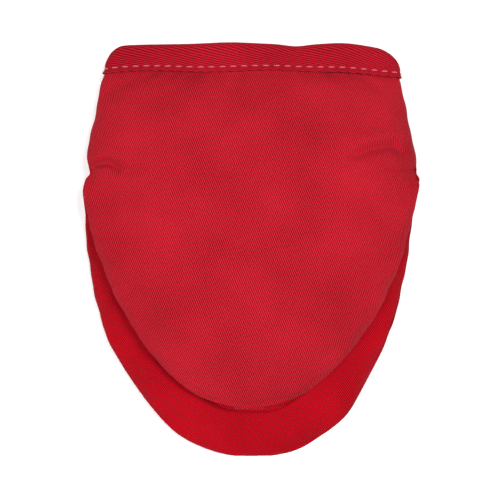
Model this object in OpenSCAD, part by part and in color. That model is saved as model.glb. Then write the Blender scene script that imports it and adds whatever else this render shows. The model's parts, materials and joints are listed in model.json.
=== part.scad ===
// Padded pinch mitt for hot dishes: a finger pocket and a thumb pocket sewn to one cuff.
// It lies flat with the finger side down. X runs across the mitt, Y from the pocket tips
// to the cuff opening, and Z up from the table. Every wall is three layers of cloth:
// a twill shell outside, wadding, and a thin lining inside.

/* [Outline] */
// Length of the cuff, from the palm's fold to the opening
cuff_len = 56; // [44:1:70]
// Length of the finger pocket, from the palm's fold to its tip
finger_len = 118; // [98:1:145]
// Length of the thumb pocket, from the palm's fold to its tip
thumb_len = 96.5; // [80:0.5:118]
// Width across the pockets at their shoulders
shoulder_w = 140; // [110:1:175]
// Width of the cuff at its opening
rim_w = 119; // [95:1:145]
// How far the cuff steps in from the shoulders, on each side
notch = 1.5; // [0.5:0.5:4]
// Width of the blunt end of each pocket
tip_w = 12; // [8:1:20]

/* [Layers] */
// Thickness of the twill shell
shell_t = 0.6; // [0.4:0.1:1]
// Thickness of the wadding in the middle of a wall
wadding_t = 3.4; // [2.5:0.1:4.5]
// Thickness of the lining
lining_t = 0.5; // [0.3:0.1:0.8]
// Thickness of the wadding where a seam squeezes it
seam_wadding_t = 1.6; // [1:0.1:2.2]
// Thickness of the wadding under the binding
rim_wadding_t = 2; // [1.2:0.1:2.5]

/* [Hollows] */
// Height of the empty space inside each pocket
pocket_gap = 5; // [4.6:0.1:8]
// Gap between the two faces of the closed mouth
mouth_gap = 0.5; // [0.4:0.1:2]
// Height of the cuff opening between the folds of the binding
rim_gap = 6.6; // [5:0.1:12]
// Height of each pocket's seam above the inside of its lower wall
seam_lift = 0.5; // [0.2:0.1:1.5]

/* [Binding] */
// Height of the binding tape on each face of the cuff
binding_h = 11.5; // [8:0.5:15]
// Thickness of the folded tape
binding_t = 0.7; // [0.4:0.1:1]
// Distance from the tape's lower edge to its row of stitches
stitch_inset = 2; // [1.5:0.25:3.5]
// Distance from one stitch to the next
stitch_pitch = 4.35; // [3:0.05:6]
// Length of thread that shows at each stitch
stitch_len = 3; // [2:0.1:3]
// Thickness of the sewing thread
thread_d = 0.6; // [0.3:0.1:0.8]

/* [Bends] */
// How far the thumb pocket lifts from the finger pocket, in degrees
thumb_swing = 70; // [60:5:70]
// Room that a lifted thumb pocket leaves above the cuff
swing_clearance = 1.4; // [1.2:0.1:2]
// Gap between cloth that bends and cloth that turns with a pocket
bend_clearance = 0.3; // [0.2:0.1:0.5]

/* [Hidden] */

TWILL = [0.74, 0.13, 0.19];
LINING = [0.62, 0.1, 0.15];
WADDING = [0.93, 0.91, 0.86];
THREAD = [0.85, 0.3, 0.36];

// A wall's four surfaces, counted inwards: the shell's face, the shell against the wadding,
// the wadding against the lining, and the lining's face.
FACE = 0;
SHELL_BACK = 1;
LINING_BACK = 2;
INSIDE = 3;
// The binding tape adds a surface outside the shell and one inside the lining.
TAPE_OUTSIDE = -1;
TAPE_INSIDE = 4;

// Gaps that keep rounded cloth and stitches clear of the facets beside them
fold_clearance = 0.35;
stitch_clearance = 0.1;

// Widths and lengths
wall_t = shell_t + wadding_t + lining_t;
seam_t = shell_t + seam_wadding_t + lining_t;
shoulder_r = shoulder_w/2;
cuff_root_r = shoulder_r - notch;
rim_r = rim_w/2;
tip_r = tip_w/2;
fold_y = finger_len - (cuff_len + finger_len)/2;
cuff_cloth_len = cuff_len - binding_t;
rim_y = fold_y + cuff_len;

// Heights of the stacked walls, from the table up
finger_palm_z = 2*wall_t + pocket_gap;
thumb_palm_z = finger_palm_z + mouth_gap;
thumb_top_z = thumb_palm_z + 2*wall_t + pocket_gap;
fold_z = (finger_palm_z + thumb_palm_z)/2;
fold_r = wall_t + mouth_gap/2;
fold_reach = fold_r + fold_clearance;
rim_lift = thread_d + stitch_clearance;
rim_top_z = rim_lift + 4*binding_t + 2*(shell_t + rim_wadding_t + lining_t) + rim_gap;
rim_seam_z = (rim_lift + rim_top_z)/2;

// Cloth that crumples as a pocket turns: towards the pocket's tip, and into the cuff
lever = thumb_top_z - fold_z;
bend_len = (lever - cos(thumb_swing)*(lever - wall_t))/sin(thumb_swing) + swing_clearance;
cuff_start = fold_reach + 2;

// Shape of the outlines and of the crowned walls
finger_power = 2.25;
thumb_power = 1.5;
cuff_power = 1.3;
flat_share = 0.5;
tip_start = 0.6;
seam_rise_share = 0.3;
tip_inset_power = 6;

// Stations along the cuff, as shares of its cloth, and the columns across every wall
start_share = cuff_start/cuff_cloth_len;
squeeze_share = 0.6;
tape_share = (cuff_len - binding_h)/cuff_cloth_len;
top_share = cuff_len/cuff_cloth_len;
stitch_share = (cuff_len - binding_h + stitch_inset)/cuff_cloth_len;
fold_rows = [for (a = [0:30:90]) fold_reach*sin(a)/cuff_cloth_len];
cuff_rows = concat([for (i = [0:4]) mix(start_share, squeeze_share, i/4)], [tape_share, 1]);
crown_steps = [for (a = [0:15:90]) flat_share + (1 - flat_share)*sin(a)];
columns = concat([for (i = [6:-1:0]) -crown_steps[i]], [0], crown_steps);
tip_rows = [for (a = [90:-15:0]) tip_start + (1 - tip_start)*sin(a)];

function mix(a, b, t) = a + (b - a)*t;
function ease(t) = let (c = min(1, max(0, t))) c*c*(3 - 2*c);
function rounded(a) = sqrt(max(0, 1 - a*a));

// How far a surface lies inside the outline at a seam, and below the shell's face in the middle
function inset(surface) =
    surface < FACE ? -binding_t :
    surface > INSIDE ? seam_t + binding_t :
    [0, shell_t, shell_t + seam_wadding_t, seam_t][surface];
function depth(surface, wadding) =
    surface < FACE ? -binding_t :
    surface > INSIDE ? shell_t + wadding + lining_t + binding_t :
    [0, shell_t, shell_t + wadding, shell_t + wadding + lining_t][surface];

// Height of the crown across a wall, and along a pocket towards its tip: 1 flat, 0 at a seam
function crown_across(u) = rounded(max(0, (abs(u) - flat_share)/(1 - flat_share)));
function crown_along(s) = rounded(max(0, (s - tip_start)/(1 - tip_start)));

// Pocket walls: [length, outline power, seam height at the cuff, seam height, face height, way in]
thumb_seam_z = thumb_palm_z + wall_t + seam_lift;
finger_seam_z = wall_t + seam_lift;
THUMB_OUTER = [thumb_len, thumb_power, fold_z + fold_reach, thumb_seam_z, thumb_top_z, -1];
THUMB_PALM = [thumb_len, thumb_power, fold_z + fold_reach, thumb_seam_z, thumb_palm_z, 1];
FINGER_PALM = [finger_len, finger_power, fold_z - fold_reach, finger_seam_z, finger_palm_z, -1];
FINGER_OUTER = [finger_len, finger_power, fold_z - fold_reach, finger_seam_z, 0, 1];

function pocket_half_w(wall, s) =
    sqrt(mix(shoulder_r*shoulder_r, tip_r*tip_r, pow(s, wall[1])));
function pocket_seam_z(wall, s) = mix(wall[2], wall[3], ease(s/seam_rise_share));
function pocket_y(wall, surface, s) =
    fold_y - s*wall[0] + inset(surface)*pow(s, tip_inset_power);
function pocket_point(wall, surface, u, s) =
    let (seam_z = pocket_seam_z(wall, s),
         flat_z = wall[4] + wall[5]*depth(surface, wadding_t))
    [u*(pocket_half_w(wall, s) - inset(surface)),
     pocket_y(wall, surface, s),
     mix(seam_z, flat_z, crown_across(u)*crown_along(s))];
// Rows of a pocket wall from its tip to where the rigid cloth starts, and of its bend
function pocket_rows(wall) =
    concat(tip_rows, [for (i = [4:-1:0]) mix(bend_len/wall[0], tip_start, i/5)]);
function bend_rows(wall) =
    [for (i = [3:-1:0]) mix(bend_clearance, bend_len - bend_clearance, i/3)/wall[0]];

// Cuff walls, by side: 1 is the thumb side, on top, and -1 is the finger side, on the table
function cuff_half_w(t) = mix(cuff_root_r, rim_r, pow(t, cuff_power));
// The side seam parts round the palm's fold and runs on midway between the two walls
function cuff_seam_z(side, t) =
    mix(fold_z, rim_seam_z, ease(t)) + side*fold_reach*rounded(min(1, t*cuff_cloth_len/fold_reach));
function squeeze(t) = ease((t - squeeze_share)/(tape_share - squeeze_share));
function cuff_flat_z(side, surface, t) =
    let (wadding = mix(wadding_t, rim_wadding_t, squeeze(t)),
         face = side > 0 ? mix(thumb_top_z, rim_top_z - binding_t, ease(t))
                         : (rim_lift + binding_t)*squeeze(t))
    face - side*depth(surface, wadding);
function cuff_point(side, surface, u, t) =
    [u*(cuff_half_w(t) - inset(surface)),
     fold_y + t*cuff_cloth_len,
     mix(cuff_seam_z(side, t), cuff_flat_z(side, surface, t), crown_across(u))];

// A closed solid between two grids of points that have the same rows and columns.
// Rows run along +Y and columns along +X. The outer grid is on top unless flipped is true,
// and the walls are cut along the same diagonals either way, so that layers meet exactly.
module slab(outer, inner, flipped) {
    last_row = len(outer) - 1;
    cols = len(outer[0]);
    last_col = cols - 1;
    in = (last_row + 1)*cols;
    points = concat([for (r = outer) each r], [for (r = inner) each r]);
    function at(i, j) = i*cols + j;
    function wall(a, b) = [[a, b, b + in], [a, b + in, a + in]];
    function turned(faces) = [for (f = faces) [f[0], f[2], f[1]]];
    skin = [for (i = [0:last_row - 1], j = [0:last_col - 1])
        each [[at(i, j), at(i + 1, j), at(i + 1, j + 1)],
              [at(i, j), at(i + 1, j + 1), at(i, j + 1)]]];
    under = [for (f = skin) [in + f[0], in + f[2], in + f[1]]];
    left = [for (i = [0:last_row - 1]) each wall(at(i + 1, 0), at(i, 0))];
    right = [for (i = [0:last_row - 1])
        each turned(wall(at(i + 1, last_col), at(i, last_col)))];
    front = [for (j = [0:last_col - 1]) each wall(at(0, j), at(0, j + 1))];
    back = [for (j = [0:last_col - 1]) each wall(at(last_row, j + 1), at(last_row, j))];
    faces = concat(skin, under, left, right, front, back);
    polyhedron(points, flipped ? turned(faces) : faces);
}

// One layer of a pocket wall, between two of its surfaces
module pocket_layer(wall, outside, rows) {
    outer = [for (s = rows) [for (u = columns) pocket_point(wall, outside, u, s)]];
    inner = [for (s = rows) [for (u = columns) pocket_point(wall, outside + 1, u, s)]];
    slab(outer, inner, wall[5] > 0);
}

// The rigid part of an outer wall starts past the cloth that bends, and a palm wall starts
// at the fold. The palm keeps the bend's rows, so that it meets the bend along its seams.
module outer_wall(wall, outside) {
    pocket_layer(wall, outside, pocket_rows(wall));
}
module palm_wall(wall, outside) {
    pocket_layer(wall, outside, concat(pocket_rows(wall), bend_rows(wall)));
}
// Cloth that crumples, from the end of a pocket's rigid wall past the fold to the rigid cuff
module bend(wall, outside) {
    side = -wall[5];
    cuff_part = concat(fold_rows, [start_share]);
    function rows(surface) = concat(
        [for (s = bend_rows(wall)) [for (u = columns) pocket_point(wall, surface, u, s)]],
        [for (t = cuff_part) [for (u = columns) cuff_point(side, surface, u, t)]]);
    slab(rows(outside), rows(outside + 1), side < 0);
}

// One layer of a cuff wall
module cuff_layer(side, outside) {
    outer = [for (t = cuff_rows) [for (u = columns) cuff_point(side, outside, u, t)]];
    inner = [for (t = cuff_rows) [for (u = columns) cuff_point(side, outside + 1, u, t)]];
    slab(outer, inner, side < 0);
}

// One layer of the palm where it turns round the fold: its section, revolved half a turn
module fold_layer(outside) {
    function profile(surface) = [for (u = columns)
        [mix(fold_r, mouth_gap/2 + depth(surface, wadding_t), crown_across(u)),
         u*(cuff_root_r - inset(surface))]];
    near = profile(outside);
    far = profile(outside + 1);
    translate([0, fold_y, fold_z])
        rotate([0, 90, 0])
            rotate_extrude(angle = 180, $fn = 48)
                polygon(concat(near, [for (i = [len(far) - 1:-1:0]) far[i]]));
}

// Binding tape: a U section carried once round the cuff's opening
module cuff_binding() {
    color(TWILL) {
        last = len(columns) - 1;
        section = [[TAPE_OUTSIDE, tape_share], [TAPE_OUTSIDE, top_share], [TAPE_INSIDE, top_share],
                   [TAPE_INSIDE, tape_share], [INSIDE, tape_share], [INSIDE, 1], [FACE, 1],
                   [FACE, tape_share]];
        stations = concat([for (j = [0:last]) [1, columns[j]]],
                          [for (j = [last - 1:-1:1]) [-1, columns[j]]]);
        n = len(stations);
        m = len(section);
        points = [for (s = stations, q = section) cuff_point(s[0], q[0], s[1], q[1])];
        faces = [for (i = [0:n - 1], k = [0:m - 1])
            let (a = i*m + k, b = i*m + (k + 1)%m, c = (i + 1)%n*m + k, d = (i + 1)%n*m + (k + 1)%m)
            each (section[k][1] < section[(k + 1)%m][1]) == (stations[i][0] > 0)
                ? [[a, b, d], [a, d, c]] : [[a, b, c], [b, d, c]]];
        polyhedron(points, faces);
    }
}

// A row of stitches lying on one surface of the binding, on both sides of the cuff. A stitch
// touches the crowned outside at its middle, and the hollow inside at its two ends.
module stitch_row(surface) {
    half_w = cuff_half_w(stitch_share) - inset(surface);
    count = floor(2*(half_w - stitch_pitch)/stitch_pitch);
    for (side = [1, -1], i = [0:count]) {
        x = (i - count/2)*stitch_pitch;
        a = cuff_point(side, surface, (x - stitch_len/2)/half_w, stitch_share);
        b = cuff_point(side, surface, (x + stitch_len/2)/half_w, stitch_share);
        on_crown = surface < FACE;
        middle = on_crown ? cuff_point(side, surface, x/half_w, stitch_share) : (a + b)/2;
        lift = (on_crown ? side : -side)*(thread_d/2 + stitch_clearance);
        translate(middle)
            rotate([0, -atan2(b[2] - a[2], b[0] - a[0]), 0])
                translate([0, 0, lift])
                    cube([stitch_len, thread_d, thread_d], center = true);
    }
}

// The sub-parts, each in its own colour
module thumb_side_shell_cuff() { color(TWILL) cuff_layer(1, FACE); }
module thumb_side_wadding_cuff() { color(WADDING) cuff_layer(1, SHELL_BACK); }
module thumb_side_lining_cuff() { color(LINING) cuff_layer(1, LINING_BACK); }
module finger_side_shell_cuff() { color(TWILL) cuff_layer(-1, FACE); }
module finger_side_wadding_cuff() { color(WADDING) cuff_layer(-1, SHELL_BACK); }
module finger_side_lining_cuff() { color(LINING) cuff_layer(-1, LINING_BACK); }
module thumb_side_shell_bend() { color(TWILL) bend(THUMB_OUTER, FACE); }
module thumb_side_wadding_bend() { color(WADDING) bend(THUMB_OUTER, SHELL_BACK); }
module thumb_side_lining_bend() { color(LINING) bend(THUMB_OUTER, LINING_BACK); }
module finger_side_shell_bend() { color(TWILL) bend(FINGER_OUTER, FACE); }
module finger_side_wadding_bend() { color(WADDING) bend(FINGER_OUTER, SHELL_BACK); }
module finger_side_lining_bend() { color(LINING) bend(FINGER_OUTER, LINING_BACK); }
module palm_shell_fold() { color(TWILL) fold_layer(FACE); }
module palm_wadding_fold() { color(WADDING) fold_layer(SHELL_BACK); }
module palm_lining_fold() { color(LINING) fold_layer(LINING_BACK); }
module thumb_side_shell_pocket() { color(TWILL) outer_wall(THUMB_OUTER, FACE); }
module thumb_side_wadding_pocket() { color(WADDING) outer_wall(THUMB_OUTER, SHELL_BACK); }
module thumb_side_lining_pocket() { color(LINING) outer_wall(THUMB_OUTER, LINING_BACK); }
module palm_shell_thumb() { color(TWILL) palm_wall(THUMB_PALM, FACE); }
module palm_wadding_thumb() { color(WADDING) palm_wall(THUMB_PALM, SHELL_BACK); }
module palm_lining_thumb() { color(LINING) palm_wall(THUMB_PALM, LINING_BACK); }
module finger_side_shell_pocket() { color(TWILL) outer_wall(FINGER_OUTER, FACE); }
module finger_side_wadding_pocket() { color(WADDING) outer_wall(FINGER_OUTER, SHELL_BACK); }
module finger_side_lining_pocket() { color(LINING) outer_wall(FINGER_OUTER, LINING_BACK); }
module palm_shell_finger() { color(TWILL) palm_wall(FINGER_PALM, FACE); }
module palm_wadding_finger() { color(WADDING) palm_wall(FINGER_PALM, SHELL_BACK); }
module palm_lining_finger() { color(LINING) palm_wall(FINGER_PALM, LINING_BACK); }
module binding_needle_thread() { color(THREAD) stitch_row(TAPE_OUTSIDE); }
module binding_bobbin_thread() { color(THREAD) stitch_row(TAPE_INSIDE); }

thumb_side_shell_cuff();
thumb_side_wadding_cuff();
thumb_side_lining_cuff();
finger_side_shell_cuff();
finger_side_wadding_cuff();
finger_side_lining_cuff();
thumb_side_shell_bend();
thumb_side_wadding_bend();
thumb_side_lining_bend();
finger_side_shell_bend();
finger_side_wadding_bend();
finger_side_lining_bend();
palm_shell_fold();
palm_wadding_fold();
palm_lining_fold();
thumb_side_shell_pocket();
thumb_side_wadding_pocket();
thumb_side_lining_pocket();
palm_shell_thumb();
palm_wadding_thumb();
palm_lining_thumb();
finger_side_shell_pocket();
finger_side_wadding_pocket();
finger_side_lining_pocket();
palm_shell_finger();
palm_wadding_finger();
palm_lining_finger();
cuff_binding();
binding_needle_thread();
binding_bobbin_thread();
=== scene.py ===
import json
import math

import bpy
import numpy as np
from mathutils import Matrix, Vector


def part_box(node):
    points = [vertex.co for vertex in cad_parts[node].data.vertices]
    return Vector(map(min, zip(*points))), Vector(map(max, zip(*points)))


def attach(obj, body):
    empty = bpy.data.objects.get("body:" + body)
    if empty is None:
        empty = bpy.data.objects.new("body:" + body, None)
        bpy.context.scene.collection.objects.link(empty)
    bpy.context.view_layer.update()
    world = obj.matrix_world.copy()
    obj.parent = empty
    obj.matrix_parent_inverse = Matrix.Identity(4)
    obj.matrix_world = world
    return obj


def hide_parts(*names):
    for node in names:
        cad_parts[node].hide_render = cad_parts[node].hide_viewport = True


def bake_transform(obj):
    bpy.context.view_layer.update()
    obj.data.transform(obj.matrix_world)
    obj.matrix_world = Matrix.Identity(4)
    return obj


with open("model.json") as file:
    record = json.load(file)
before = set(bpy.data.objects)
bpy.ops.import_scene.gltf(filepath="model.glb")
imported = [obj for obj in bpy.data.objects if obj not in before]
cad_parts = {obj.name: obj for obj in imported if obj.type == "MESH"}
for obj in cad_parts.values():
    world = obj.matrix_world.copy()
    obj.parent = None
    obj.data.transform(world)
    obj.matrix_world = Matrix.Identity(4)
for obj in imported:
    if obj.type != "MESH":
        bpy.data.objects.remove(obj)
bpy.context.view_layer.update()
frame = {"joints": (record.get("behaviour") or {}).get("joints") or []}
bpy.ops.object.select_all(action="DESELECT")


# ---- Camera ----
# It hangs straight above the mitt and looks down at it as it lies on the table, with the
# cuff at the top of the picture.
VIEW_WIDTH = 0.210
VIEW_LENS = 100.0
VIEW_LEVEL = 0.015

lens = bpy.data.cameras.new("overhead_lens")
lens.lens = VIEW_LENS
lens.clip_start = 0.01
camera = bpy.data.objects.new("overhead_camera", lens)
camera.location = (0.0002, 0.0009, VIEW_LEVEL + VIEW_WIDTH*VIEW_LENS/lens.sensor_width)
bpy.context.scene.collection.objects.link(camera)
bpy.context.scene.camera = camera


# ---- Table and studio light ----
# A plain white table under two soft boxes, a small one high on the right and a wider one
# high on the left, with a pale surround.
bpy.context.scene.view_settings.view_transform = "Standard"

bpy.ops.mesh.primitive_plane_add(size=9.0, location=(0, 0, -0.0003))
table = bpy.context.object
table.name = "white_table"
bpy.ops.object.transform_apply(location=True, rotation=True, scale=True)
table_paint = bpy.data.materials.new("white_paint")
table_paint.use_nodes = True
table_shader = table_paint.node_tree.nodes["Principled BSDF"]
table_shader.inputs["Base Color"].default_value = (0.93, 0.93, 0.93, 1)
table_shader.inputs["Roughness"].default_value = 0.9
table.data.materials.append(table_paint)


def studio_light(name, place, size, power):
    """A square soft box at a place, turned to face the mitt."""
    light = bpy.data.lights.new(name, "AREA")
    light.size = size
    light.energy = power
    box = bpy.data.objects.new(name, light)
    box.location = place
    box.rotation_euler = Vector(place).to_track_quat("Z", "Y").to_euler()
    bpy.context.scene.collection.objects.link(box)


studio_light("key_light", (0.38, 0.20, 1.26), 0.30, 16.5)
studio_light("fill_light", (-0.42, -0.34, 1.40), 0.7, 18.5)

surround = bpy.data.worlds.new("pale_surround")
surround.use_nodes = True
surround.node_tree.nodes["Background"].inputs["Color"].default_value = (1, 1, 1, 1)
surround.node_tree.nodes["Background"].inputs["Strength"].default_value = 0.31
bpy.context.scene.world = surround


# ---- The mitt's skin ----
# Three cut pieces of padded twill, sewn edge to edge: a thumb side and a finger side, each
# from the cuff to a pocket's tip, and a palm folded between them. They are laid out here on
# shared rows and columns, then settled together as cloth.
thumb_swing = next(j for j in frame["joints"] if j["name"] == "thumb_pocket_swing")
FOLD_Y, FOLD_Z = thumb_swing["pos_m"][1:]
THUMB_LEN = FOLD_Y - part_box("thumb_side_shell_pocket")[0][1]
FINGER_LEN = FOLD_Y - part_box("finger_side_shell_pocket")[0][1]
CUFF_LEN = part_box("cuff_binding")[1][1] - FOLD_Y
SHOULDER_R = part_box("finger_side_shell_bend")[1][0]
RIM_R = 0.0595
ROOT_R = SHOULDER_R - 0.0015
TIP_R = 0.006
THUMB_TAPER = 1.5
FINGER_TAPER = 2.25
TOP_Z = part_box("thumb_side_shell_pocket")[1][2]
SHELL_T = 0.0006
WADDING_T = 0.0034
RIM_WADDING_T = 0.002
LINING_T = 0.0005
TAPE_T = 0.0007
TAPE_H = 0.0115
WALL_T = SHELL_T + WADDING_T + LINING_T
MOUTH_GAP = 0.0005
SEAM_RISE = 0.0005
SEAM_DROP = 0.3
PALM_Z = FOLD_Z - MOUTH_GAP/2
FOLD_R = WALL_T + MOUTH_GAP/2 + 0.00035
RIM_TOP_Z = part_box("cuff_binding")[1][2] - TAPE_T
RIM_LOW_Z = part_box("cuff_binding")[0][2] + TAPE_T
TAPE_SHARE = (CUFF_LEN - TAPE_H)/CUFF_LEN
SQUEEZE_FROM = 0.6
WALL_END = 0.985

COLUMNS = 68
TIP_ROWS = 30
POCKET_ROWS = 36
FOLD_ROWS = 6
CUFF_ROWS = 38
FLAT_ACROSS = 0.42
FLAT_ALONG = 0.55

# Columns from -1 at the left seam to 1 at the right one, closer together near the seams
even = np.linspace(-1, 1, COLUMNS + 1)
across = np.sin(even*math.pi/2)*0.55 + even*0.45
TIP_START = 0.6
tip_part = TIP_START + (1 - TIP_START)*np.sin(np.linspace(math.pi/2, 0, TIP_ROWS))
pocket_rows = np.concatenate([tip_part, np.linspace(TIP_START, 0, POCKET_ROWS + 1)[1:]])
fold_angles = np.linspace(0, math.pi/2, FOLD_ROWS + 1)[1:]
fold_rows = FOLD_R*np.sin(fold_angles)/CUFF_LEN
cuff_rows = np.linspace(FOLD_R/CUFF_LEN, WALL_END, CUFF_ROWS + 1)[1:]


def ease(t):
    t = np.clip(t, 0, 1)
    return t*t*(3 - 2*t)


def blend_to(a, b, t):
    return a + (b - a)*t


def crown(v, flat):
    """1 over the flat middle of a wall, and 0 at its seam, with a round shoulder between."""
    past = np.clip((np.abs(v) - flat)/(1 - flat), 0, 1)
    return np.sqrt(1 - past*past)


def bump(v, middle, width):
    return np.exp(-((v - middle)/width)**2)


def pocket_half(s, power):
    return np.sqrt(blend_to(SHOULDER_R**2, TIP_R**2, s**power))


def cuff_half(t):
    return blend_to(ROOT_R, RIM_R, np.clip(t, 0, 1)**1.3)


def squeeze(t):
    """How far the wall is pressed flat at share t of the cuff: 1 at the binding."""
    return ease((t - SQUEEZE_FROM)/(TAPE_SHARE - SQUEEZE_FROM))


def cuff_face_z(side, t):
    """Height of the middle of a cuff wall's face: side is 1 for the thumb side, on top."""
    if side > 0:
        return blend_to(TOP_Z, RIM_TOP_Z, ease(t))
    return RIM_LOW_Z*squeeze(t)


def cuff_seam_z(side, t):
    """The side seam parts round the palm's fold and runs on midway between the walls."""
    along = np.clip(t*CUFF_LEN/FOLD_R, 0, 1)
    middle = blend_to(FOLD_Z, (RIM_TOP_Z + RIM_LOW_Z)/2, ease(t))
    return middle + side*FOLD_R*np.sqrt(1 - along*along)


def cuff_sway(t):
    """The cuff leans a little to the right as it lies."""
    return 0.0017*np.clip(t, 0, 1)**2


def pocket_wall(side, middle_z):
    """Points and crown factors of a pocket's wall, from its tip to the fold: side 1 is the thumb."""
    length, taper = (THUMB_LEN, THUMB_TAPER) if side > 0 else (FINGER_LEN, FINGER_TAPER)
    seam_z = FOLD_Z + MOUTH_GAP/2 + WALL_T + SEAM_RISE if side > 0 else WALL_T + SEAM_RISE
    points, crowns = [], []
    for s in pocket_rows:
        c = crown(across, FLAT_ACROSS)*crown(s, FLAT_ALONG)
        edge_z = blend_to(FOLD_Z + side*FOLD_R, seam_z, ease(s/SEAM_DROP))
        x = across*pocket_half(s, taper)
        points.append(np.stack([x, np.full_like(x, FOLD_Y - s*length), blend_to(edge_z, middle_z, c)], 1))
        crowns.append(c)
    return points, crowns


def cuff_section(side, columns, t):
    """The x and z of a cuff wall from seam to seam, at share t of the cuff's length."""
    x = columns*cuff_half(t) + cuff_sway(t)
    z = blend_to(cuff_seam_z(side, t), cuff_face_z(side, t), crown(columns, FLAT_ACROSS))
    return x, z


def outer_wall(side):
    """A wall from a pocket's tip to the cuff's opening."""
    points, crowns = pocket_wall(side, TOP_Z if side > 0 else 0.0)
    for t in np.concatenate([fold_rows, cuff_rows]):
        x, z = cuff_section(side, across, t)
        points.append(np.stack([x, np.full_like(x, FOLD_Y + t*CUFF_LEN), z], 1))
        crowns.append(crown(across, FLAT_ACROSS))
    return np.array(points), np.array(crowns)


def palm_wall(side):
    """Half of the palm, from a pocket's tip to the middle of the fold."""
    points, crowns = pocket_wall(side, FOLD_Z + side*MOUTH_GAP/2)
    for t, a in zip(fold_rows, fold_angles):
        c = crown(across, FLAT_ACROSS)
        r = blend_to(FOLD_R, MOUTH_GAP/2, c)
        x = across*cuff_half(t) + cuff_sway(t)
        points.append(np.stack([x, FOLD_Y + r*math.sin(a), FOLD_Z + side*r*math.cos(a)], 1))
        crowns.append(c)
    return np.array(points), np.array(crowns)


CORNER_RADII = (0.0052, 0.0076)
RIM_DROOP = 0.0022


def rim_fall(x, rise, ends):
    """How far the rim sinks at its two rounded ends, at share rise of the binding's height."""
    fall = RIM_DROOP*ease((x - 0.035)/0.027)*(1 - 0.5*rise)
    for end, radius in zip(ends, CORNER_RADII):
        near = np.clip(1 - np.abs(x - end)/radius, 0, 1)
        fall = fall + radius*(1 - np.sqrt(1 - near*near))*0.85*rise**2
    return fall


def seam_reach(points):
    """Which points are left of the middle, and a factor that grows outwards to 1 at the seams."""
    x = points[..., 0]
    share = np.abs(x)/np.maximum(np.abs(x).max(axis=1, keepdims=True), 1e-9)
    return x < 0, np.sign(x)*share**3


def shape_outline(points):
    """Sewing has tucked the notches in, and left the cuff a little fuller and the edge uneven."""
    left, reach = seam_reach(points)
    y = points[..., 1]
    tuck = np.where(left, 0.0028, 0.0012)*bump(y, FOLD_Y + 0.0008, 0.0042)
    wave = 0.00020*np.sin(y*290 + np.where(left, 0.5, 2.1))
    wave = wave + 0.00014*np.sin(y*620 + np.where(left, 1.0, 0.2))
    fuller = np.where(left, 0.0008, 0.0024)*ease((y - 0.022)/0.010)*(1 - ease((y - 0.045)/0.030))
    fuller = fuller + 0.0010*bump(y, FOLD_Y + CUFF_LEN - TAPE_H - 0.004, 0.010)
    points[..., 0] += reach*(wave*np.clip((y + 0.05)/0.02, 0, 1) - tuck + fuller)
    return points


def shape_finger_tip(points):
    """The finger pocket's edge was sewn in short straight runs, with soft corners between."""
    left, reach = seam_reach(points)
    y = points[..., 1]
    left_corners = 0.0007*bump(y, -0.035, 0.009) + 0.0012*bump(y, -0.0785, 0.0065)
    left_runs = 0.0011*bump(y, -0.022, 0.040) - 0.0006*bump(y, -0.058, 0.010)
    right_corners = 0.0030*bump(y, -0.0725, 0.010) + 0.0032*bump(y, -0.0855, 0.005)
    right_runs = -0.0010*bump(y, -0.022, 0.040) - 0.0006*bump(y, -0.048, 0.010)
    points[..., 0] += reach*np.where(left, left_corners + left_runs, right_corners + right_runs)
    return points


walls = {"thumb_side": outer_wall(1), "finger_side": outer_wall(-1),
         "thumb_palm": palm_wall(1), "finger_palm": palm_wall(-1)}
skin = {name: shape_outline(wall[0].copy()) for name, wall in walls.items()}
for name in ("finger_side", "finger_palm"):
    shape_finger_tip(skin[name])
fullness = {name: wall[1] for name, wall in walls.items()}
facing_up = {"thumb_side": True, "finger_side": False, "thumb_palm": False, "finger_palm": True}


def grid_faces(rows, cols, up, first=0):
    """Quads over a grid whose rows run from the tip to the cuff and columns left to right."""
    faces = []
    for i in range(rows - 1):
        for j in range(cols - 1):
            a = first + i*cols + j
            quad = (a, a + 1, a + cols + 1, a + cols)
            faces.append(quad if up else quad[::-1])
    return faces


RIM_ROWS_HELD = 8
FOLD_ROWS_HELD = FOLD_ROWS + 3
SETTLE_FRAMES = 20
SETTLE_CAP = 0.0018
SIDEWAYS = 0.35


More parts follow.
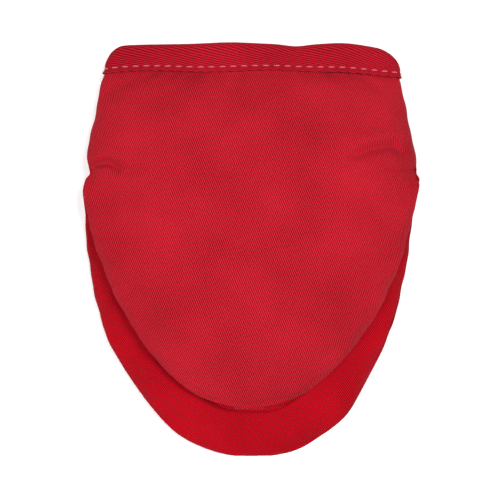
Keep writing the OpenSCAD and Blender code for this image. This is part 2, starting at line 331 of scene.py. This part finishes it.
def settle_skin():
    """Sews the walls into one skin and lets light pressure fill it, with cloth to spare."""
    points, index, faces, places = [], {}, [], {}
    for name, grid in skin.items():
        ids = np.empty(grid.shape[:2], int)
        for i, row in enumerate(grid):
            for j, p in enumerate(row):
                key = tuple(np.round(p*1e5).astype(int))
                if key not in index:
                    index[key] = len(points)
                    points.append(p)
                ids[i, j] = index[key]
        places[name] = ids
        flat = ids.ravel()
        for quad in grid_faces(*grid.shape[:2], facing_up[name]):
            corners = [int(flat[k]) for k in quad]
            if len(set(corners)) == 4:
                faces.append(corners)
    mesh = bpy.data.meshes.new("skin_to_settle")
    mesh.from_pydata([tuple(p) for p in points], [], faces)
    body = bpy.data.objects.new("skin_to_settle", mesh)
    bpy.context.scene.collection.objects.link(body)
    still = [places[name][-RIM_ROWS_HELD:].ravel() for name in ("thumb_side", "finger_side")]
    still += [places[name][-FOLD_ROWS_HELD:].ravel() for name in ("thumb_palm", "finger_palm")]
    still += [ids[:, k] for ids in places.values() for k in (0, -1)]
    still += [ids[0] for ids in places.values()]
    held = body.vertex_groups.new(name="held")
    held.add([int(k) for line in still for k in line], 1.0, "ADD")
    cloth = body.modifiers.new("cloth", "CLOTH")
    cloth.settings.quality = 6
    cloth.settings.mass = 0.15
    cloth.settings.tension_stiffness = 12
    cloth.settings.compression_stiffness = 12
    cloth.settings.shear_stiffness = 4
    cloth.settings.bending_stiffness = 0.4
    cloth.settings.use_pressure = True
    cloth.settings.uniform_pressure_force = 4
    cloth.settings.shrink_min = -0.022
    cloth.settings.vertex_group_mass = "held"
    cloth.settings.effector_weights.gravity = 0
    cloth.point_cache.frame_start = 1
    cloth.point_cache.frame_end = SETTLE_FRAMES
    for step in range(1, SETTLE_FRAMES + 1):
        bpy.context.scene.frame_set(step)
    settled = body.evaluated_get(bpy.context.evaluated_depsgraph_get()).to_mesh()
    moved = np.empty(len(points)*3)
    settled.vertices.foreach_get("co", moved)
    moved = moved.reshape(-1, 3) - np.array(points)
    bpy.data.objects.remove(body)
    bpy.context.scene.frame_set(1)
    moved[:, :2] *= SIDEWAYS
    reach = np.linalg.norm(moved, axis=1, keepdims=True)
    moved *= np.minimum(1, SETTLE_CAP/np.maximum(reach, 1e-9))
    for name, ids in places.items():
        skin[name] += moved[ids]


settle_skin()


def crease(grid, path, width, depth):
    """Presses a fold line into a wall along a path of (x, y) points; negative depth lifts."""
    flat = grid[..., :2]
    best = np.full(grid.shape[:2], 1.0)
    for (ax, ay), (bx, by) in zip(path, path[1:]):
        d = np.array([bx - ax, by - ay])
        k = np.clip(((flat - (ax, ay)) @ d)/(d @ d), 0, 1)
        gap = np.linalg.norm(flat - (np.array([ax, ay]) + k[..., None]*d), axis=2)
        best = np.minimum(best, gap)
    grid[..., 2] -= depth*np.exp(-(best/width)**2)


top = skin["thumb_side"]
crease(top, [(-0.0690, 0.0315), (-0.0640, 0.0362), (-0.0590, 0.0375), (-0.0542, 0.0348)], 0.0014, 0.0028)
crease(top, [(-0.0670, 0.0385), (-0.0600, 0.0415), (-0.0520, 0.0400)], 0.0022, -0.0011)
crease(top, [(-0.0647, 0.0508), (-0.0560, 0.0470), (-0.0458, 0.0424)], 0.0026, 0.0006)
crease(top, [(0.0430, 0.0400), (0.0510, 0.0440), (0.0590, 0.0464), (0.0625, 0.0435)], 0.0014, 0.0027)
crease(top, [(0.0470, 0.0480), (0.0600, 0.0515)], 0.0024, -0.0012)
crease(top, [(0.0560, 0.0400), (0.0650, 0.0400)], 0.0030, -0.0007)
low = skin["finger_palm"]
pucker_places = ((-0.066, -0.0013, 0.001), (-0.062, -0.020, 0.002), (-0.052, -0.045, 0.004),
                 (-0.043, -0.0575, 0.005))
for x, y, slant in pucker_places:
    crease(low, [(x - 0.003, y - slant), (x + 0.008, y + slant)], 0.0016, 0.0009)
    crease(low, [(-x + 0.003, y - 0.006 - slant), (-x - 0.008, y - 0.006 + slant)], 0.0016, 0.0007)

# Short ripples run beside the seams, and the thumb side swells slowly over its wadding
for name, grid in skin.items():
    x, y = grid[..., 0], grid[..., 1]
    from_seam = 1 - np.abs(across)[None, :]
    ripple = np.sin(y*430 + 1.3) + 0.7*np.sin(y*710 + x*60) + 0.5*np.sin(y*1150 + 0.4)
    near_seam = np.exp(-(from_seam/0.05)**2)*(from_seam > 0)*fullness[name]**0.5
    sign = 1 if facing_up[name] else -1
    grid[..., 2] += sign*0.00018*ripple*near_seam
    if name == "thumb_side":
        swell = np.sin(x*95 + 0.6)*np.sin(y*80 + 1.1) + 0.6*np.sin(x*170 + y*140)
        pocket = np.clip((FOLD_Y - y)/0.03, 0, 1)
        grid[..., 2] += fullness[name]*(0.0004*swell + 0.0012*pocket*(1 - (x/0.07)**2))

# At the thumb's tip the palm's edge is rolled out a little under the seam
thumb_palm, thumb_side = skin["thumb_palm"], skin["thumb_side"]
thumb_tip_y = FOLD_Y - THUMB_LEN
rolled = bump(thumb_palm[..., 1], thumb_tip_y + 0.0022, 0.0028)*bump(thumb_palm[..., 0], 0.0088, 0.017)
thumb_palm[1:, :, 1] -= 0.0016*rolled[1:]
thumb_side[1:, :, 1] += 0.0010*bump(thumb_side[1:, :, 1], thumb_tip_y, 0.004)

# The two faces of the mouth stay apart, and the underside stays above the table
finger_palm = skin["finger_palm"]
past_thumb = ease((thumb_tip_y + 0.022 - finger_palm[..., 1])/0.03)
highest = np.minimum(finger_palm[..., 2], PALM_Z - 0.0001 + 0.0022*past_thumb)
finger_palm[..., 2] = np.where(finger_palm[..., 1] < FOLD_Y - 0.0002, highest, finger_palm[..., 2])
lowest = np.maximum(thumb_palm[..., 2], FOLD_Z + MOUTH_GAP/2)
thumb_palm[..., 2] = np.where(thumb_palm[..., 1] < FOLD_Y, lowest, thumb_palm[..., 2])
skin["finger_side"][..., 2] = np.maximum(skin["finger_side"][..., 2], 0.0)

# The walls end just inside the binding, which presses a groove along its lower edge
for name in ("thumb_side", "finger_side"):
    grid = skin[name]
    sign = 1 if facing_up[name] else -1
    rise = np.clip((grid[..., 1] - (FOLD_Y + CUFF_LEN - TAPE_H))/TAPE_H, 0, 1)
    rim_x = grid[-1, :, 0]
    grid[..., 1] -= rim_fall(grid[..., 0], rise, (rim_x.min(), rim_x.max())) + 0.0016*rise
    groove = bump(grid[..., 1], FOLD_Y + CUFF_LEN - TAPE_H - 0.0004, 0.0022)
    grid[..., 2] -= sign*0.0008*groove*fullness[name]


# ---- Twill cloth ----
# Cotton twill, dyed red: fine ribs that run on a slant, with slubs in the yarn and a faint
# change of shade across the piece. The lining's plain weave uses the same yarns.
def build_weave():
    """Ribs of yarn in the cloth's own measure, in metres on its UV map."""
    tree = bpy.data.node_groups.new("yarn_ribs", "ShaderNodeTree")
    sockets = (("Slant", "NodeSocketFloat", "INPUT"), ("Rib Spacing", "NodeSocketFloat", "INPUT"),
               ("Light Yarn", "NodeSocketColor", "INPUT"), ("Dark Yarn", "NodeSocketColor", "INPUT"),
               ("Color", "NodeSocketColor", "OUTPUT"), ("Height", "NodeSocketFloat", "OUTPUT"))
    for name, kind, direction in sockets:
        tree.interface.new_socket(name=name, in_out=direction, socket_type=kind)
    nodes, links = tree.nodes, tree.links
    given = nodes.new("NodeGroupInput")
    out = nodes.new("NodeGroupOutput")

    def math_node(kind, a, b=None, c=None):
        node = nodes.new("ShaderNodeMath")
        node.operation = kind
        for socket, value in zip(node.inputs, (a, b, c)):
            if value is None:
                continue
            if isinstance(value, (int, float)):
                socket.default_value = value
            else:
                links.new(value, socket)
        return node.outputs[0]

    uv = nodes.new("ShaderNodeUVMap")
    uv.uv_map = "cloth"

    def noise_node(scale, detail):
        node = nodes.new("ShaderNodeTexNoise")
        node.inputs["Scale"].default_value = scale
        node.inputs["Detail"].default_value = detail
        links.new(uv.outputs[0], node.inputs["Vector"])
        return node.outputs["Fac"]

    split = nodes.new("ShaderNodeSeparateXYZ")
    links.new(uv.outputs[0], split.inputs[0])
    x, y = split.outputs[0], split.outputs[1]
    cosine = math_node("COSINE", given.outputs["Slant"])
    sine = math_node("SINE", given.outputs["Slant"])
    over = math_node("SUBTRACT", math_node("MULTIPLY", x, sine), math_node("MULTIPLY", y, cosine))
    along = math_node("ADD", math_node("MULTIPLY", x, cosine), math_node("MULTIPLY", y, sine))

    drift = math_node("MULTIPLY", math_node("SUBTRACT", noise_node(220.0, 2.0), 0.5), 1.6)
    phase = math_node("MULTIPLY", math_node("DIVIDE", over, given.outputs["Rib Spacing"]), 2*math.pi)
    rib = math_node("MULTIPLY_ADD", math_node("SINE", math_node("ADD", phase, drift)), 0.5, 0.5)
    step = math_node("MULTIPLY", math_node("DIVIDE", along, given.outputs["Rib Spacing"]), 2*math.pi/1.3)
    float_yarn = math_node("MULTIPLY_ADD", math_node("SINE", math_node("ADD", step, phase)), 0.5, 0.5)

    slub = noise_node(1500.0, 3.0)
    shade = noise_node(32.0, 4.0)
    height = math_node("MULTIPLY_ADD", float_yarn, 0.16, math_node("MULTIPLY", rib, 0.84))
    mottle = math_node("MULTIPLY", math_node("SUBTRACT", shade, 0.5), 0.5)
    mixed = math_node("MULTIPLY_ADD", slub, 0.7, math_node("SUBTRACT", height, 0.34))
    mixed = math_node("ADD", mixed, mottle)
    ramp = nodes.new("ShaderNodeMix")
    ramp.data_type = "RGBA"
    ramp.clamp_factor = True
    links.new(mixed, ramp.inputs["Factor"])
    links.new(given.outputs["Dark Yarn"], ramp.inputs["A"])
    links.new(given.outputs["Light Yarn"], ramp.inputs["B"])
    links.new(ramp.outputs["Result"], out.inputs["Color"])
    links.new(math_node("MULTIPLY_ADD", slub, 0.3, height), out.inputs["Height"])
    return tree


yarn_ribs = build_weave()


def woven(name, light, dark, slant, spacing, relief):
    """A matt woven cloth with a faint fuzz."""
    cloth = bpy.data.materials.new(name)
    cloth.use_nodes = True
    nodes, links = cloth.node_tree.nodes, cloth.node_tree.links
    shader = nodes["Principled BSDF"]
    weave = nodes.new("ShaderNodeGroup")
    weave.node_tree = yarn_ribs
    weave.inputs["Slant"].default_value = math.radians(slant)
    weave.inputs["Rib Spacing"].default_value = spacing
    weave.inputs["Light Yarn"].default_value = (*light, 1)
    weave.inputs["Dark Yarn"].default_value = (*dark, 1)
    links.new(weave.outputs["Color"], shader.inputs["Base Color"])
    relief_node = nodes.new("ShaderNodeBump")
    relief_node.inputs["Strength"].default_value = 0.6
    relief_node.inputs["Distance"].default_value = relief
    links.new(weave.outputs["Height"], relief_node.inputs["Height"])
    links.new(relief_node.outputs["Normal"], shader.inputs["Normal"])
    shader.inputs["Roughness"].default_value = 0.92
    shader.inputs["Specular IOR Level"].default_value = 0.04
    shader.inputs["Sheen Weight"].default_value = 0.02
    shader.inputs["Sheen Roughness"].default_value = 0.45
    shader.inputs["Sheen Tint"].default_value = (1.0, 0.62, 0.62, 1)
    return cloth


TWILL_LIGHT = (0.51, 0.0135, 0.0275)
TWILL_DARK = (0.065, 0.0003, 0.0012)
# The palm's twill is a darker copy of the shell's: painted shade, for the low palm that lies in the thumb
# pocket's shadow. Its shallower slant is the cloth's own.
PALM_SHADED_LIGHT = (0.49, 0.0028, 0.0120)
PALM_SHADED_DARK = (0.07, 0.0002, 0.0010)
shell_cloth = woven("red_twill", TWILL_LIGHT, TWILL_DARK, 112, 0.00080, 0.00030)
palm_cloth_painted_shade = woven("red_twill_palm_shaded", PALM_SHADED_LIGHT, PALM_SHADED_DARK, 130, 0.00080, 0.00030)


# ---- Shells ----
# The twill outside of each wall, 0.6 mm thick. The thumb side and the finger side are one
# cut piece each, from the cuff to a tip; the palm is one piece, parted here at its fold, as
# its two halves turn with different pockets on the mitt, though these pieces are not tied to them.
def inward(name, grid):
    """The way from a wall's face into the mitt, at each of its rows."""
    rows = grid.shape[0]
    side = 1 if name.startswith("thumb") else -1
    way = np.zeros((rows, 1, 3))
    way[..., 2] = -side if name.endswith("side") else side
    if name.endswith("palm"):
        for k, a in enumerate(fold_angles):
            way[len(pocket_rows) + k, 0] = (0, math.sin(a), side*math.cos(a))
    return way


def row_depths(name, layer_edge):
    """Depth of a layer's edge below the face at each row: the wadding thins at the rim."""
    wadding = np.full(skin[name].shape[0], WADDING_T)
    if name.endswith("side"):
        wadding[-CUFF_ROWS:] = blend_to(WADDING_T, RIM_WADDING_T, squeeze(cuff_rows))
    shell, pad, lining = layer_edge
    return (SHELL_T*shell + wadding*pad + LINING_T*lining)[:, None, None]


def cloth_uv(face):
    """UVs in metres: the run across each row from its middle, and the run up the middle."""
    rows, cols = face.shape[:2]
    step_x = np.linalg.norm(np.diff(face, axis=1), axis=2)
    u = np.concatenate([np.zeros((rows, 1)), np.cumsum(step_x, axis=1)], axis=1)
    u -= u[:, cols//2:cols//2 + 1]
    step_y = np.linalg.norm(np.diff(face[:, cols//2], axis=0), axis=1)
    v = np.concatenate([[0], np.cumsum(step_y)])[:, None].repeat(cols, 1)
    return np.stack([u, v], 2).reshape(-1, 2)


# A pocket's outer face lies up to 18 mm from the fold, so the cloth that takes up a turn of
# 70 degrees is 36 mm long: a shorter bend would fold through itself.
BEND_LEN = 0.0360


def layer_piece(piece_name, name, outer_edge, inner_edge, body, inset=0.0):
    """A closed piece of one layer of a wall, between two depths, with its UVs in metres."""
    face = skin[name].copy()
    # An inner layer stands back from the seams, less so on the cuff, and sinks in the bend
    pull = inset*(0.4 + 0.6*ease((FOLD_Y + 0.016 - face[..., 1])/0.010))
    face[..., 0] *= 1 - pull/SHOULDER_R
    face[..., 1] += np.maximum(FOLD_Y - face[..., 1], 0)*pull/THUMB_LEN
    rows, cols = face.shape[:2]
    soft = np.maximum(fullness[name], 0.02)[..., None]
    way = inward(name, face)
    outer = face + way*row_depths(name, outer_edge)*soft
    inner = face + way*row_depths(name, inner_edge)*soft
    if inset and name.endswith("side"):
        tucked = way*0.0010*bump(face[..., 1:2], FOLD_Y - BEND_LEN/2, BEND_LEN/2)
        outer = outer + tucked
    points = np.concatenate([outer.reshape(-1, 3), inner.reshape(-1, 3)])
    count = rows*cols
    up = facing_up[name]
    faces = grid_faces(rows, cols, up) + grid_faces(rows, cols, not up, count)
    border = list(range(cols)) + [i*cols + cols - 1 for i in range(1, rows)]
    border += [(rows - 1)*cols + j for j in range(cols - 2, -1, -1)]
    border += [i*cols for i in range(rows - 2, 0, -1)]
    cut_edges = set()
    for a, b in zip(border, border[1:] + border[:1]):
        quad = (b, a, a + count, b + count)
        faces.append(quad if up else quad[::-1])
        cut_edges |= {frozenset((a, b)), frozenset((a + count, b + count))}
    mesh = bpy.data.meshes.new(piece_name)
    mesh.from_pydata([tuple(p) for p in points], [], faces)
    sharp = mesh.attributes.new("crease_edge", "FLOAT", "EDGE")
    at_cut = [float(frozenset(edge.vertices) in cut_edges) for edge in mesh.edges]
    sharp.data.foreach_set("value", at_cut)
    flat = np.tile(cloth_uv(face), (2, 1))
    cloth_map = mesh.uv_layers.new(name="cloth")
    corner = np.empty(len(mesh.loops), int)
    mesh.loops.foreach_get("vertex_index", corner)
    cloth_map.data.foreach_set("uv", flat[corner].ravel())
    piece = bpy.data.objects.new(piece_name, mesh)
    bpy.context.scene.collection.objects.link(piece)
    smooth = piece.modifiers.new("smooth", "SUBSURF")
    smooth.levels = smooth.render_levels = 1
    bpy.context.view_layer.objects.active = piece
    bpy.ops.object.modifier_apply(modifier="smooth")
    piece.data.shade_smooth()
    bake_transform(piece)
    return piece


# A depth is given in shares of the shell, the wadding and the lining
SHELL_DEPTHS = ((0, 0, 0), (1, 0, 0))
bodies = {name: name.split("_")[0] + "_pocket" for name in skin}


def stands_for(name, layer):
    """The CAD nodes of one layer of a wall. The fold goes with the finger half of the palm."""
    if name.endswith("side"):
        return [f"{name}_{layer}_{part}" for part in ("cuff", "bend", "pocket")]
    nodes = [f"palm_{layer}_{name.split('_')[0]}"]
    return nodes + ([f"palm_{layer}_fold"] if name == "finger_palm" else [])


for name in skin:
    shell = layer_piece(f"{name}_twill", name, *SHELL_DEPTHS, bodies[name])
    # The palm pieces take the darker twill, whose colour holds painted shade.
    shell.data.materials.append(shell_cloth if name.endswith("side") else palm_cloth_painted_shade)
    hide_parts(*stands_for(name, "shell"))


# ---- Wadding ----
# Soft cotton batting behind every shell, 3.4 mm thick and squeezed at the seams and under
# the binding. It is hidden once the mitt is sewn.
WADDING_DEPTHS = ((1.4, 0.04, 0), (1, 0.94, 0))
INNER_INSET = 0.0040


def two_shades(name, texture_kind, scale, roughness, dark, light):
    """A finish that shifts between two shades with a fine texture."""
    finish = bpy.data.materials.new(name)
    finish.use_nodes = True
    nodes, links = finish.node_tree.nodes, finish.node_tree.links
    shader = nodes["Principled BSDF"]
    shader.inputs["Roughness"].default_value = roughness
    texture = nodes.new(texture_kind)
    texture.inputs["Scale"].default_value = scale
    place = nodes.new("ShaderNodeTexCoord")
    shades = nodes.new("ShaderNodeMix")
    shades.data_type = "RGBA"
    shades.inputs["A"].default_value = (*dark, 1)
    shades.inputs["B"].default_value = (*light, 1)
    links.new(place.outputs["Object"], texture.inputs["Vector"])
    links.new(texture.outputs["Fac"], shades.inputs["Factor"])
    links.new(shades.outputs["Result"], shader.inputs["Base Color"])
    return finish


batting = two_shades("cotton_batting", "ShaderNodeTexNoise", 400.0, 1.0,
                     (0.72, 0.69, 0.62), (0.95, 0.93, 0.88))
for name in skin:
    pad = layer_piece(f"{name}_batting", name, *WADDING_DEPTHS, bodies[name], inset=INNER_INSET)
    pad.data.materials.append(batting)
    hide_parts(*stands_for(name, "wadding"))


# ---- Lining ----
# Thin plain-weave cotton on the inside of every wall, a little darker than the twill.
LINING_DEPTHS = ((1, 1, 0), (1, 1, 1))
LINING_LIGHT = (0.50, 0.028, 0.045)
LINING_DARK = (0.26, 0.006, 0.012)
lining_cloth = woven("red_lining", LINING_LIGHT, LINING_DARK, 90, 0.0005, 0.00008)
for name in skin:
    lining = layer_piece(f"{name}_lining", name, *LINING_DEPTHS, bodies[name], inset=INNER_INSET)
    lining.data.materials.append(lining_cloth)
    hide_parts(*stands_for(name, "lining"))


# ---- Binding ----
# One strip of twill cut on the bias, folded over the cuff's raw edges and stitched down all
# round. It waves a little along its top edge, and the stitches draw it in.
TAPE_LIGHT = (0.40, 0.0085, 0.021)
TAPE_DARK = (0.07, 0.0003, 0.0012)
RING_STATIONS = 260
TOP_ROLL = 0.0019
RIM_SPREAD = 1.020
STITCH_Y = 0.0021
STITCH_PITCH = 0.00446
RIM_MIDDLE_Z = 0.0079
GIRTH_SHARE = 0.9


def rim_ring(t, offset, count=RING_STATIONS):
    """Points round the cuff at share t of its length, moved out from its face by offset."""
    upper = np.stack(cuff_section(1, across, t), 1)
    lower = np.stack(cuff_section(-1, across[::-1], t), 1)
    loop = np.concatenate([upper, lower[1:-1]])
    closed = np.concatenate([loop, loop[:1]])
    run = np.concatenate([[0], np.cumsum(np.linalg.norm(np.diff(closed, axis=0), axis=1))])
    want = np.arange(count)/count*run[-1]
    ring = np.stack([np.interp(want, run, closed[:, k]) for k in (0, 1)], 1)
    for _ in range(3):
        ring = (np.roll(ring, 1, 0) + 2*ring + np.roll(ring, -1, 0))/4
    along = np.roll(ring, -1, 0) - np.roll(ring, 1, 0)
    along /= np.linalg.norm(along, axis=1, keepdims=True)
    out = np.stack([-along[:, 1], along[:, 0]], 1)
    ring[:, 0] *= RIM_SPREAD
    return ring + out*offset[:, None], want


def tape_sway(x, z, rise, ends):
    """How far the binding strays up or down from a straight band, at share rise of its height."""
    front = np.clip((z - RIM_MIDDLE_Z)/0.004, -1, 1)*0.5 + 0.5
    wave = 0.0008*bump(x, -0.008, 0.013) - 0.0009*bump(x, 0.0195, 0.006) + 0.0006*bump(x, 0.040, 0.009)
    wave = front*np.clip(rise, 0.15, 1)*(wave - 0.0007*bump(x, 0.060, 0.008))
    return wave + 0.0004*np.sin(x*120 + 0.5)*front*bump(rise, 0, 0.52) - rim_fall(x, rise, ends)


tape_low = FOLD_Y + CUFF_LEN - TAPE_H
tape_top = FOLD_Y + CUFF_LEN
section = []
for y in np.linspace(tape_low, tape_top - TOP_ROLL, 15):
    section.append((y, TAPE_T/2, 1.0))
rim_wall = SHELL_T + RIM_WADDING_T + LINING_T
for a in np.linspace(0, math.pi, 11)[1:-1]:
    over_rim = -rim_wall/2 + (rim_wall/2 + TAPE_T/2)*math.cos(a)
    section.append((tape_top - TOP_ROLL + TOP_ROLL*math.sin(a), over_rim, math.cos(a)))
for y in np.linspace(tape_top - TOP_ROLL, tape_low, 15):
    section.append((y, -rim_wall - TAPE_T/2, -1.0))

tape_points = []
for y, offset, face in section:
    share = (y - FOLD_Y)/CUFF_LEN
    above_stitches = np.clip((y - tape_low - STITCH_Y)/(TAPE_H - STITCH_Y - 0.001), 0, 1)
    puff = 0.00028*math.sin(math.pi*above_stitches)
    flare = 0.00034*np.clip((tape_low + STITCH_Y - y)/STITCH_Y, 0, 1)
    ring, run = rim_ring(min(share, WALL_END), np.full(RING_STATIONS, offset))
    tug = np.cos(2*math.pi*run/STITCH_PITCH)
    drawn = 0.00034*bump(y, tape_low + STITCH_Y, 0.0009)*(1 + 0.75*tug)
    scallop = 0.00007*tug*bump(y, tape_low, 0.0015)
    outward = 1 if face > 0.5 else -1 if face < -0.5 else 0
    lift = (puff + flare - drawn + scallop)*outward
    ring, run = rim_ring(min(share, WALL_END), offset + lift)
    x = ring[:, 0]
    rise = np.clip((y - tape_low)/TAPE_H, 0, 1)
    wave = tape_sway(x, ring[:, 1], rise, (x.min(), x.max())) + 0.00012*tug*bump(y, tape_low, 0.001)
    tape_points.append(np.stack([x, y + wave, ring[:, 1]], 1))
tape_points = np.array(tape_points)
bands, stations = tape_points.shape[:2]
tape_faces = []
for i in range(bands - 1):
    for j in range(stations):
        k = (j + 1) % stations
        tape_faces.append((i*stations + j, i*stations + k, (i + 1)*stations + k, (i + 1)*stations + j))
tape_mesh = bpy.data.meshes.new("bias_tape")
tape_mesh.from_pydata([tuple(p) for p in tape_points.reshape(-1, 3)], [], tape_faces)
tape_map = tape_mesh.uv_layers.new(name="cloth")
tape_run = np.arange(stations + 1)/stations*rim_ring(GIRTH_SHARE, np.zeros(RING_STATIONS))[1][-1]
tape_steps = np.linalg.norm(np.diff(tape_points[:, 0], axis=0), axis=1)
tape_rise = np.concatenate([[0], np.cumsum(tape_steps)])
tape_uv = []
for i in range(bands - 1):
    for j in range(stations):
        for di, dj in ((0, 0), (0, 1), (1, 1), (1, 0)):
            tape_uv += [tape_run[j + dj], tape_rise[i + di]]
tape_map.data.foreach_set("uv", tape_uv)
tape = bpy.data.objects.new("bias_tape", tape_mesh)
bpy.context.scene.collection.objects.link(tape)
thick = tape.modifiers.new("thick", "SOLIDIFY")
thick.thickness = TAPE_T
thick.offset = 0
thick.use_rim = True
round_off = tape.modifiers.new("round_off", "SUBSURF")
round_off.levels = round_off.render_levels = 1
bpy.context.view_layer.objects.active = tape
for step in ("thick", "round_off"):
    bpy.ops.object.modifier_apply(modifier=step)
tape.data.shade_smooth()
tape.data.materials.append(woven("red_twill_bias", TAPE_LIGHT, TAPE_DARK, 171, 0.00062, 0.00016))
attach(tape, "cuff")
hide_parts("cuff_binding")


# ---- Stitches ----
# One row of lockstitch holds the binding: a pinkish needle thread outside and its bobbin
# thread inside, each stitch dipping into the cloth at its ends.
STITCH_LEN = 0.0029
STITCH_SINK = 0.00045
THREAD_R = 0.00027
THREAD_LIFT = 0.00005

thread_finish = two_shades("pink_thread", "ShaderNodeTexWave", 900.0, 0.6,
                           (0.33, 0.016, 0.034), (0.56, 0.070, 0.105))
thread_nodes = thread_finish.node_tree.nodes
thread_nodes["Wave Texture"].bands_direction = "DIAGONAL"
thread_nodes["Principled BSDF"].inputs["Sheen Weight"].default_value = 0.3


def stitch_row(name, offset):
    """A ring of stitches round the cuff, each one a copy of a bowed length of thread."""
    bpy.ops.object.select_all(action="DESELECT")
    bpy.ops.mesh.primitive_uv_sphere_add(segments=8, ring_count=8, radius=THREAD_R,
                                         rotation=(0, math.pi/2, 0))
    model = bpy.context.object
    bpy.ops.object.transform_apply(location=True, rotation=True, scale=True)
    outward = 1 if offset > 0 else -1
    for v in model.data.vertices:
        v.co.x *= STITCH_LEN/2/THREAD_R
        v.co.z = outward*(v.co.z - STITCH_SINK*(v.co.x/(STITCH_LEN/2))**2)
    ring, run = rim_ring((tape_low + STITCH_Y - FOLD_Y)/CUFF_LEN, np.full(RING_STATIONS, offset))
    total = run[-1] + run[1]
    whole_run = np.append(run, total)
    whole_ring = np.concatenate([ring, ring[:1]])
    count = round(total/STITCH_PITCH)
    ends = (ring[:, 0].min(), ring[:, 0].max())
    copies = []
    for k in range(count):
        at = (k + 0.5)*total/count
        ahead = (at + 0.0005) % total
        x, z = (np.interp(at, whole_run, whole_ring[:, c]) for c in (0, 1))
        next_x, next_z = (np.interp(ahead, whole_run, whole_ring[:, c]) for c in (0, 1))
        tilt = math.atan2(next_z - z, next_x - x)
        y = tape_low + STITCH_Y + float(tape_sway(x, z, STITCH_Y/TAPE_H, ends))
        mesh = model.data.copy()
        for v in mesh.vertices:
            turned_x = v.co.x*math.cos(tilt) - v.co.z*math.sin(tilt)
            turned_z = v.co.x*math.sin(tilt) + v.co.z*math.cos(tilt)
            v.co = (x + turned_x, y + v.co.y, z + turned_z)
        copy = bpy.data.objects.new(f"{name}_{k}", mesh)
        bpy.context.scene.collection.objects.link(copy)
        copies.append(copy)
    bpy.data.objects.remove(model)
    for copy in copies:
        copy.select_set(True)
    bpy.context.view_layer.objects.active = copies[0]
    bpy.ops.object.join()
    row = bpy.context.object
    row.name = name
    row.data.shade_smooth()
    row.data.materials.append(thread_finish)
    bpy.ops.object.select_all(action="DESELECT")
    return row


stitch_rows = (("needle_stitches", "binding_needle_thread", TAPE_T + THREAD_LIFT),
               ("bobbin_stitches", "binding_bobbin_thread", -rim_wall - TAPE_T - THREAD_LIFT))
for name, node, offset in stitch_rows:
    row = stitch_row(name, offset)
    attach(row, "cuff")
    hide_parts(node)
